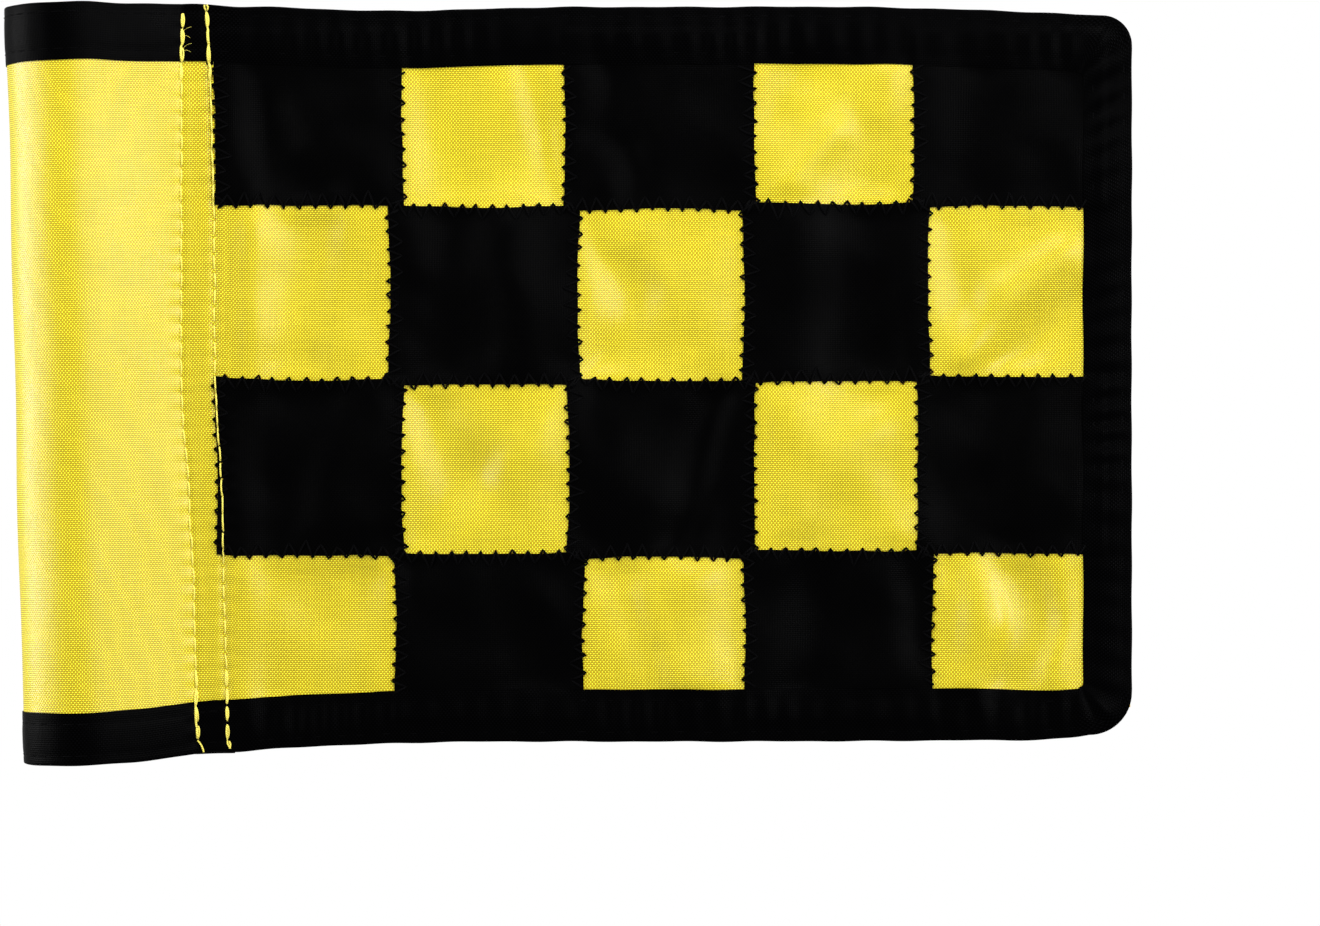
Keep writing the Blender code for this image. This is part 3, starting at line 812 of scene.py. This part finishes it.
def make_yellow_cloth():
    """The sleeve and fly in one piece, cut away behind each black square."""
    inset = EDGE_INSET + AIR
    last = REACH - inset
    window_a = sorted({v for box in SQUARES.values() for v in (box[0] + TURN_UNDER, box[1] - TURN_UNDER)})
    window_b = sorted({v for box in SQUARES.values() for v in (box[2] + TURN_UNDER, box[3] - TURN_UNDER)})
    plain, fine = 0.85, 0.35
    stops = [(HEM_END, plain), (19.5, fine), (24.8, 0.6), (26.8, fine)]
    stops += [(v, plain) for v in window_a if v < last]
    starts = [place for place, step in stops]
    a = grid_lines(*zip(starts, starts[1:] + [last], [step for place, step in stops]))
    b_inner = grid_lines(*((low, high, ROW_STEP) for low, high in zip(window_b[:-1], window_b[1:])))
    edge_rows = 9
    share = np.linspace(0, 1, edge_rows, endpoint=False)[:, None]
    trimmed = np.where(a < HEM_FOLD + 0.3, HEM_TRIM, 0)
    low_edge, high_edge = edge_height(a, inset, -1) + trimmed, edge_height(a, inset, 1) - trimmed
    under = low_edge + (b_inner[0] - low_edge) * share
    over = high_edge + (b_inner[-1] - high_edge) * share
    b = np.concatenate([under, np.repeat(b_inner[:, None], len(a), axis=1), over[::-1]])
    a = np.repeat(a[None], len(b), axis=0)
    centre_a = (a[:-1, :-1] + a[1:, 1:]) / 2
    centre_b = (b[:-1, :-1] + b[1:, 1:]) / 2
    keep = np.ones(centre_a.shape, bool)
    for left, right, bottom, top in SQUARES.values():
        across = (centre_a > left + TURN_UNDER) & (centre_a < right - TURN_UNDER)
        along = (centre_b > bottom + TURN_UNDER) & (centre_b < top - TURN_UNDER)
        keep &= ~(across & along)
    s, t = pattern(a, b)
    front, back = lay(s, t, CLOTH / 2), lay(s, t, -CLOTH / 2)
    cloth = closed_sheet("yellow_cloth", front, back, np.stack([a, b], -1), yellow, keep)
    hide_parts("sleeve_cloth", "fly_cloth")
    return bend(cloth)


# ---- the black squares ----

SIDE_CORNERS = ((0, 1), (1, 2), (2, 3), (3, 0))  # left, top, right and bottom, from the lower left corner
SIDE_OUTWARD = ((-1, 0), (0, 1), (1, 0), (0, -1))
EDGE_BOW = 0.42


def hidden_sides(row, column):
    """Which of a square's sides run under the tape."""
    return (False, row == 1, column == 5, row == 4)


def edge_stray(row, column, side, share):
    """How far a square's edge strays inwards: a bow from the sewing's pull, and a small wander."""
    rng = np.random.default_rng(1000 * row + 100 * column + side)
    phase = rng.uniform(0, 2 * math.pi, 4)
    wander = sum(0.10 / k * np.sin(math.pi * 2 * k * share + phase[k - 1]) for k in (1, 2, 3, 4))
    bow = 0 if hidden_sides(row, column)[side] else EDGE_BOW
    return (bow * 4 * share * (1 - share) + wander) * smooth(8 * np.minimum(share, 1 - share) + 0.2)


def square_point(row, column, u, v):
    """The grid coordinates of a square's point at the shares u across it and v up it."""
    left, right, bottom, top = SQUARES[row, column]
    strays = [edge_stray(row, column, side, share) for side, share in enumerate((v, u, v, u))]
    low_a, high_a = left + strays[0], right - strays[2]
    low_b, high_b = bottom + strays[3], top - strays[1]
    return low_a + (high_a - low_a) * u, low_b + (high_b - low_b) * v


def square_out(row, a, b):
    """How far out the middle of a square's cloth lies: rows 2 and 4 lap over the corners of rows 1 and 3."""
    lapped = black_layers(a, b, rows=(1, 3)) if row in (2, 4) else 0
    return LAYER * (1 + lapped)


def make_black_square(row, column):
    left, right, bottom, top = SQUARES[row, column]
    step = 0.6
    u, v = (np.linspace(0, 1, int(size / step)) for size in (right - left, top - bottom))
    u, v = np.meshgrid(u, v)
    a, b = square_point(row, column, u, v)
    s, t = pattern(a, b)
    out = square_out(row, a, b)
    front, back = lay(s, t, out + CLOTH / 2), lay(s, t, out - CLOTH / 2)
    name = f"black_square_r{row}c{column}"
    square = closed_sheet(name + "_cloth", front, back, np.stack([a, b], -1), black)
    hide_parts(name)
    return bend(square) if column == 1 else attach(square, "fly")


# ---- threads ----


def strands(a, b, face, radius, dip, bow, points=7):
    """A strand over the cloth from each needle hole to the next, as one path of (a, b, out). face(a, b) is
    the cloth's surface, and bow is how far the strand strays sideways between its holes."""
    u = np.linspace(0, 1, points)[:-1]
    arch = np.sin(math.pi * u) ** 0.55
    a0, b0, a1, b1 = a[:-1, None], b[:-1, None], a[1:, None], b[1:, None]
    length = np.maximum(np.hypot(a1 - a0, b1 - b0), 1e-6)
    across_a, across_b = (b1 - b0) / length, -(a1 - a0) / length
    aside = np.broadcast_to(bow, len(a) - 1)[:, None] * np.sin(math.pi * u)
    way_a = a0 + (a1 - a0) * u + across_a * aside
    way_b = b0 + (b1 - b0) * u + across_b * aside
    surface = face(way_a, way_b)
    side = np.sign(surface)
    out = surface + side * (radius * arch - dip * (1 - arch))
    return np.stack([way_a.ravel(), way_b.ravel(), out.ravel()], axis=-1)


def laid(path):
    """A path of (a, b, out) where the sewn flag holds it."""
    return lay(*pattern(path[:, 0], path[:, 1]), path[:, 2])


ZIGZAG_STEP = 1.52
ZIGZAG_OVER = 0.55  # how far outside and inside the square's edge its holes lie
ZIGZAG_INSIDE = 2.2
ZIGZAG_RADIUS = 0.24
ZIGZAG_DIP = 0.12


def zigzag_holes(row, column):
    """The needle holes of the zigzag round a square, on the sides that the tape leaves open."""
    left, right, bottom, top = SQUARES[row, column]
    corners = ((left, bottom), (left, top), (right, top), (right, bottom))
    hidden = hidden_sides(row, column)
    first = max(side for side in range(4) if hidden[side]) + 1 if any(hidden) else 0
    rng = np.random.default_rng(7000 + 100 * row + column)
    holes = []
    for side in ((first + k) % 4 for k in range(4)):
        if hidden[side]:
            continue
        start, end = (np.array(corners[k]) for k in SIDE_CORNERS[side])
        length = np.linalg.norm(end - start)
        count = int(length / ZIGZAG_STEP)
        share = (np.arange(count) + 0.5 + rng.uniform(-0.22, 0.22, count)) / count
        outside = np.arange(count) % 2 == 1
        reach = np.where(outside, ZIGZAG_OVER, -ZIGZAG_INSIDE)
        reach = reach + rng.normal(0, 1, count) * np.where(outside, 0.11, 0.4)
        along = share if side in (0, 1) else 1 - share
        reach -= edge_stray(row, column, side, along)
        place = start + (end - start) * share[:, None] + np.array(SIDE_OUTWARD[side]) * reach[:, None]
        holes.append(place)
    holes = np.concatenate(holes)
    return holes[under_tape(holes[:, 0], holes[:, 1]) < 0.8]


def make_zigzag(row, column):
    holes = zigzag_holes(row, column)
    rng = np.random.default_rng(8000 + 100 * row + column)
    a, b = holes.T
    paths = []
    for face in (front_face, back_face):
        bow = rng.normal(0, 0.10, len(a) - 1)
        paths.append(laid(strands(a, b, partial(face, taped=False), ZIGZAG_RADIUS, ZIGZAG_DIP, bow)))
    name = f"zigzag_r{row}c{column}"
    thread = add_threads(name + "_thread", paths, ZIGZAG_RADIUS, thread_black)
    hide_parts(name)
    return bend(thread) if column == 1 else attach(thread, "fly")


# ---- the tape ----

TAPE_ROW_OUTER = 1.6  # one row of stitching in from the tape's outer edge
TAPE_ROW_INNER = 2.2  # and the other in from its inner edge
TAPE_STITCH = 2.8
ROW_RADIUS = 0.12
ROW_SUNK = 0.12
ROW_DIP = 0.12
GATHER = 5.2  # from one gather of the tape to the next
GATHER_HEIGHT = 0.55
RIDGE_AT = (200.4, -60.6)
RIDGE_TURN = -0.85
RIDGE_LENGTH = 9


def outline():
    """The bound edge in grid coordinates, as rows of (outer a, outer b, inner a, inner b)."""
    step = 0.7
    corner_rows = 16
    inner_a = REACH - TAPE_FLY
    rows = []
    for side, knots, radius in ((1, TOP_EDGE, UPPER_CORNER), (-1, BOTTOM_EDGE, LOWER_CORNER)):
        hem = float(fold_at(np.array(side * (SLEEVE_HALF - TAPE_TOP / 2))))
        a = np.arange(hem, inner_a - INNER_CORNER, step)
        edge = knot_curve(knots, a) + 0.05 * np.sin(a / 1.9) + 0.05 * np.sin(a / 3.1 + 1)
        wander = 0.05 * np.sin(a / 4.3 + side) + 0.04 * np.sin(a / 2.3)
        inner = knot_curve(knots, a) - side * tape_width(side, a) + wander
        straight = np.column_stack([a, edge, a, inner])
        turn = np.linspace(math.pi / 2, 0, corner_rows)
        height = float(knot_curve(knots, np.array(REACH - radius)))
        outer_a = REACH - radius + radius * np.cos(turn)
        outer_b = height - side * radius * (1 - np.sin(turn))
        round_a = inner_a - INNER_CORNER * (1 - np.cos(turn))
        round_b = height - side * (tape_width(side, inner_a) + INNER_CORNER * (1 - np.sin(turn)))
        corner = np.column_stack([outer_a, outer_b, round_a, round_b])
        rows.append((straight, corner))
    (top, top_corner), (low, low_corner) = rows
    count = int((top_corner[-1, 1] - low_corner[-1, 1]) / step)
    down = np.linspace(top_corner[-1], low_corner[-1], count)[1:-1]
    down[:, 0] += 0.05 * np.sin(down[:, 1] / 2.1)
    down[:, 2] += 0.08 * np.sin(down[:, 3] / 3.7)
    path = np.concatenate([top, top_corner, down, low_corner[::-1], low[::-1]])
    outer, inner = path[:, :2], path[:, 2:]
    inwards = (inner - outer) / np.linalg.norm(inner - outer, axis=1, keepdims=True)
    return np.hstack([outer + inwards * EDGE_INSET, inner])


def tape_puff(place, along, across, width):
    """The tape's own relief: drawn in along its stitching, full and gathered between, with a folded ridge at
    the lower corner."""
    rows = bell((across - TAPE_ROW_OUTER) / 0.55)
    rows = rows + bell((width - across - TAPE_ROW_INNER) / 0.6)
    full = np.sin(math.pi * np.clip(across / width, 0, 1))
    uneven = 1.5 * np.sin(along / 11) + 0.9 * np.sin(along / 4.7)
    strength = 0.35 + 0.65 * np.sin(along / 23 + 2) ** 2
    gathers = np.sin(2 * math.pi * along / GATHER + uneven) * strength
    gathers = (0.5 + 0.5 * gathers) * (0.1 + 0.9 * smooth((place[..., 0] - 26) / 8))
    ridge_a, ridge_b = place[..., 0] - RIDGE_AT[0], place[..., 1] - RIDGE_AT[1]
    from_ridge = ridge_a * math.sin(RIDGE_TURN) - ridge_b * math.cos(RIDGE_TURN)
    along_ridge = ridge_a * math.cos(RIDGE_TURN) + ridge_b * math.sin(RIDGE_TURN)
    ridge_ends = smooth((along_ridge + 1) / 3) * smooth((RIDGE_LENGTH - along_ridge) / 3)
    ridge = bell(from_ridge / 0.7) * ridge_ends
    return -0.07 * rows + 0.09 * full + GATHER_HEIGHT * gathers * full + 0.35 * ridge


def make_tape():
    """The tape, folded over the bound edge from the sleeve's back, round the fly, to the back again."""
    path = outline()
    outer, inner = path[:, None, :2], path[:, None, 2:]
    width = np.linalg.norm(inner - outer, axis=-1)
    middle = (outer + inner)[:, 0] / 2
    along = length_along(middle)
    leg_points, fold_points = 15, 9
    leg = np.linspace(1, 0, leg_points)
    turn = np.linspace(0, math.pi, fold_points)[1:-1]
    share_front = np.repeat(leg[None], len(path), axis=0)
    place = outer + (inner - outer) * share_front[..., None]
    puff = tape_puff(place, along[:, None], width * share_front, width)
    lift = LAYER * black_layers(place[..., 0], place[..., 1]) + puff

    def face(out):
        """One face of the tape: across the front, round the edge and across the back."""
        share_fold = -out * np.sin(turn)[None] / width
        out_fold = out * np.cos(turn)[None] + lift[:, -1:] * (1 + np.cos(turn)[None]) / 2
        shares = np.concatenate([share_front, share_fold, share_front[:, ::-1]], axis=1)
        outs = np.concatenate([out + lift, out_fold, -out - 0.6 * puff[:, ::-1]], axis=1)
        grid = outer + (inner - outer) * shares[..., None]
        s, t = pattern(grid[..., 0], grid[..., 1])
        return lay(s, t, outs), np.stack([np.broadcast_to(along[:, None], shares.shape), shares * width], -1)

    outside, uv = face(LAYER + CLOTH / 2)
    inside, _ = face(AIR + CLOTH / 2)
    tape = closed_sheet("binding_tape", outside, inside, uv, tape_black)
    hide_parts("sleeve_binding_top", "sleeve_binding_bottom", "fly_binding")
    return bend(tape)


def make_tape_row(name, distance, from_inner, *replaced):
    """A row of lockstitch along the tape."""
    path = outline()
    outer, inner = path[:, :2], path[:, 2:]
    width = np.linalg.norm(inner - outer, axis=1)
    share = (width - distance) / width if from_inner else distance / width
    line = outer + (inner - outer) * share[:, None]
    along = length_along(line)
    holes = np.arange(TAPE_STITCH / 2, along[-1], TAPE_STITCH)
    a, b = (np.interp(holes, along, line[:, k]) for k in (0, 1))
    faces = (lambda p, q: front_face(p, q) - ROW_SUNK, lambda p, q: back_face(p, q) + ROW_SUNK)
    paths = [laid(strands(a, b, face, ROW_RADIUS, ROW_DIP, 0)) for face in faces]
    thread = add_threads(name, paths, ROW_RADIUS, thread_black)
    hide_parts(*replaced)
    return bend(thread)


# ---- the sleeve's seams ----

SEAM_RADIUS = 0.17
SECOND_RADIUS = 0.25  # of the second pass at the seam's ends
WISP_RADIUS = 0.03
SEAM_DIP = 0.12
SECOND_DIP = 0.04
SEAM_SUNK = 0.08
SEAM_TOP = 73.4
SEAM_BOTTOM = -71.5
BACKTACK = 12.5  # how far each end is sewn over twice
DOUBLED_BOW = 0.2
SINGLE_BOW = 0.05
UNDER_DIP = 0.16


def seam_front(s, t):
    """The front face where a seam runs, at (s, t): it was sewn last, over the tape and the zigzag."""
    a, b = unpattern(s, t)
    highest = np.max([front_face(a + aside, b) for aside in (-0.2, 0, 0.2)], axis=0)
    in_the_open = smooth(0.5 - under_tape(a, b) / 0.6)
    return highest - SEAM_SUNK * in_the_open + 1.3 * ZIGZAG_RADIUS * black_layers(a + 1.2, b)


def seam_tail(s, t, end_t, slant, bow):
    """A loose end from the last needle hole at (s, t) to the height end_t."""
    u = np.linspace(0, 1, 9)
    tail_t = t + (end_t - t) * u
    tail_s = s + slant * u + bow * np.sin(math.pi * u)
    return lay(tail_s, tail_t, seam_front(tail_s, tail_t) + SEAM_RADIUS)


def make_seam(name, knots, node, seed, tails, wisps=()):
    """A row of stitching that closes the sleeve, sewn over twice at its ends, on the front and the back.
    tails are its loose ends, as (1 at the top or -1 at the bottom, slant, bow). wisps are filaments that
    stand out of it, as (the height where they start, how far they go across, how far up)."""
    rng = np.random.default_rng(seed)
    first = round((SEAM_BOTTOM - SEAM_PHASE) / SEAM_STITCH)
    last = round((SEAM_TOP - SEAM_PHASE) / SEAM_STITCH)
    t = SEAM_PHASE + SEAM_STITCH * np.arange(first, last + 1)
    s = knot_curve(knots, t) + rng.normal(0, 0.07, len(t))
    doubled = (t[1:] > SEAM_TOP - BACKTACK) | (t[:-1] < SEAM_BOTTOM + BACKTACK)
    bow = np.where(doubled, DOUBLED_BOW, SINGLE_BOW) + rng.normal(0, 0.06, len(t) - 1)
    main = strands(s, t, seam_front, SEAM_RADIUS, SEAM_DIP, bow, 9)
    paths = [lay(*main.T)]
    radii = [SEAM_RADIUS]
    twice = BACKTACK + SEAM_STITCH / 2
    for ends in (t > SEAM_TOP - twice, t < SEAM_BOTTOM + twice):
        second_t = t[ends] + rng.normal(0, 0.5, ends.sum())
        second_s = s[ends] + rng.normal(0, 0.08, ends.sum())
        second_bow = -DOUBLED_BOW + rng.normal(0, 0.08, len(second_t) - 1)
        second = strands(second_s, second_t, seam_front, SEAM_RADIUS, SECOND_DIP, second_bow, 9)
        paths.append(lay(*second.T))
        radii.append(SECOND_RADIUS)
    for side, slant, tail_bow in tails:
        hole = -1 if side > 0 else 0
        edge = TOP_EDGE if side > 0 else BOTTOM_EDGE
        end_t = float(knot_curve(edge, s[hole])) - side * EDGE_INSET
        paths.append(seam_tail(s[hole], t[hole], end_t, slant, tail_bow))
    under = strands(s, t, back_face, SEAM_RADIUS, UNDER_DIP, bow)
    paths.append(np.column_stack([under[:, 0], BACK_LAYER_Y - under[:, 2], under[:, 1] + MIDDLE]))
    radii += [SEAM_RADIUS] * (len(paths) - len(radii))
    for start_t, end_s, end_t in wisps:
        u = np.linspace(0, 1, 7)
        wisp_s = knot_curve(knots, start_t) + end_s * u
        wisp_t = start_t + end_t * u + 0.25 * np.sin(math.pi * u)
        paths.append(lay(wisp_s, wisp_t, seam_front(wisp_s, wisp_t) + 0.1 + 0.5 * u))
        radii.append(WISP_RADIUS)
    thread = add_threads(name, paths, radii, thread_yellow)
    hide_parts(node)
    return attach(thread, "sleeve")


# ---- the flag ----

make_yellow_cloth()
for row, column in SQUARES:
    make_black_square(row, column)
    make_zigzag(row, column)
make_tape()
make_tape_row("tape_stitching_outer", TAPE_ROW_OUTER, False,
              "sleeve_row_top_outer", "sleeve_row_bottom_outer", "fly_row_outer")
make_tape_row("tape_stitching_inner", TAPE_ROW_INNER, True,
              "sleeve_row_top_inner", "sleeve_row_bottom_inner", "fly_row_inner")
make_seam("seam_stitching_inner", SEAM_INNER, "seam_thread_inner", 21, [(-1, 1.1, 0.2)],
          [(69.4, 1.9, 0.9), (68.6, 1.6, -0.5), (66.0, 2.0, 1.0), (65.6, 1.8, -0.3), (63.2, 1.2, 0.1)])
make_seam("seam_stitching_outer", SEAM_OUTER, "seam_thread_outer", 22,
          [(1, 0.1, 0.25), (1, -0.3, -0.2), (-1, 0.3, 0.3), (-1, 0.5, -0.3)])
for slot in bpy.data.objects["tube_insert"].material_slots:
    slot.material = plastic


# ---- studio and camera ----

SENSOR = 36.0
LENS = 135.0
VIEW_WIDTH = 262.4  # across the picture, mm at the fly
VIEW_CENTRE = (116.1, -15.7)  # in grid coordinates
FLOOR_DROP = 0.7  # metres, so that the floor stays out of the picture
FLOOR_SIZE = 12.0
FLOOR_GLOW = 0.45
WORLD_LIGHT = 0.49
LIT_POINT = Vector((0.09, 0, 0.07))
LIGHTS = (  # name, place and size in metres, and watts
    ("left", (-1.00, -0.50, 0.25), 0.6, 8.4),
    ("right", (1.60, -0.42, 0.45), 0.8, 20.5),
    ("key", (0.80, -1.00, 0.25), 0.35, 5.9),
    ("top", (0.12, -0.22, 0.42), 0.25, 1.35),
    ("side", (-1.10, 0.10, 0.20), 0.6, 11),
    ("back", (0.30, 1.30, 0.60), 0.7, 12),
)


def make_camera():
    data = bpy.data.cameras.new("camera")
    data.lens = LENS
    data.sensor_width = SENSOR
    data.clip_end = 100
    camera = add_object("camera", data)
    bpy.context.scene.camera = camera
    s, t = pattern(*np.array(VIEW_CENTRE))
    camera.location = (s / 1000, -VIEW_WIDTH * LENS / SENSOR / 1000, (t + MIDDLE) / 1000)
    camera.rotation_euler = (math.pi / 2, SEWN_SKEW, 0)


def add_light(name, place, size, power):
    """A soft square light that faces LIT_POINT."""
    data = bpy.data.lights.new(name, "AREA")
    data.size = size
    data.energy = power
    light = add_object(name, data)
    light.location = place
    light.rotation_euler = (LIT_POINT - light.location).to_track_quat("-Z", "Y").to_euler()


def make_floor():
    """A pale floor, even to its far edge, that throws no light up on the flag."""
    half = FLOOR_SIZE / 2
    corners = [(x * half, y * half, -FLOOR_DROP) for x, y in ((-1, -1), (1, -1), (1, 1), (-1, 1))]
    mesh = bpy.data.meshes.new("floor")
    mesh.from_pydata(corners, [], [(0, 1, 2, 3)])
    mesh.materials.append(Nodes("pale_floor").surface({
        "Base Color": (0.86, 0.86, 0.85, 1),
        "Roughness": 0.8,
        "Emission Color": (1, 1, 1, 1),
        "Emission Strength": FLOOR_GLOW,
    }))
    floor = add_object("floor", mesh)
    floor.visible_diffuse = False
    floor.visible_glossy = False


def make_world():
    """White to the camera, and a dimmer light on the flag, so that black cloth stays black."""
    world = bpy.data.worlds.new("studio")
    world.use_nodes = True
    tree = world.node_tree
    seen = tree.nodes["Background"]
    given = tree.nodes.new("ShaderNodeBackground")
    for background, strength in ((seen, 1), (given, WORLD_LIGHT)):
        background.inputs["Color"].default_value = (1, 1, 1, 1)
        background.inputs["Strength"].default_value = strength
    mix = tree.nodes.new("ShaderNodeMixShader")
    ray = tree.nodes.new("ShaderNodeLightPath")
    tree.links.new(ray.outputs["Is Camera Ray"], mix.inputs[0])
    tree.links.new(given.outputs[0], mix.inputs[1])
    tree.links.new(seen.outputs[0], mix.inputs[2])
    tree.links.new(mix.outputs[0], tree.nodes["World Output"].inputs["Surface"])
    bpy.context.scene.world = world
    bpy.context.scene.view_settings.view_transform = "Standard"


make_world()
make_floor()
make_camera()
for light in LIGHTS:
    add_light(*light)
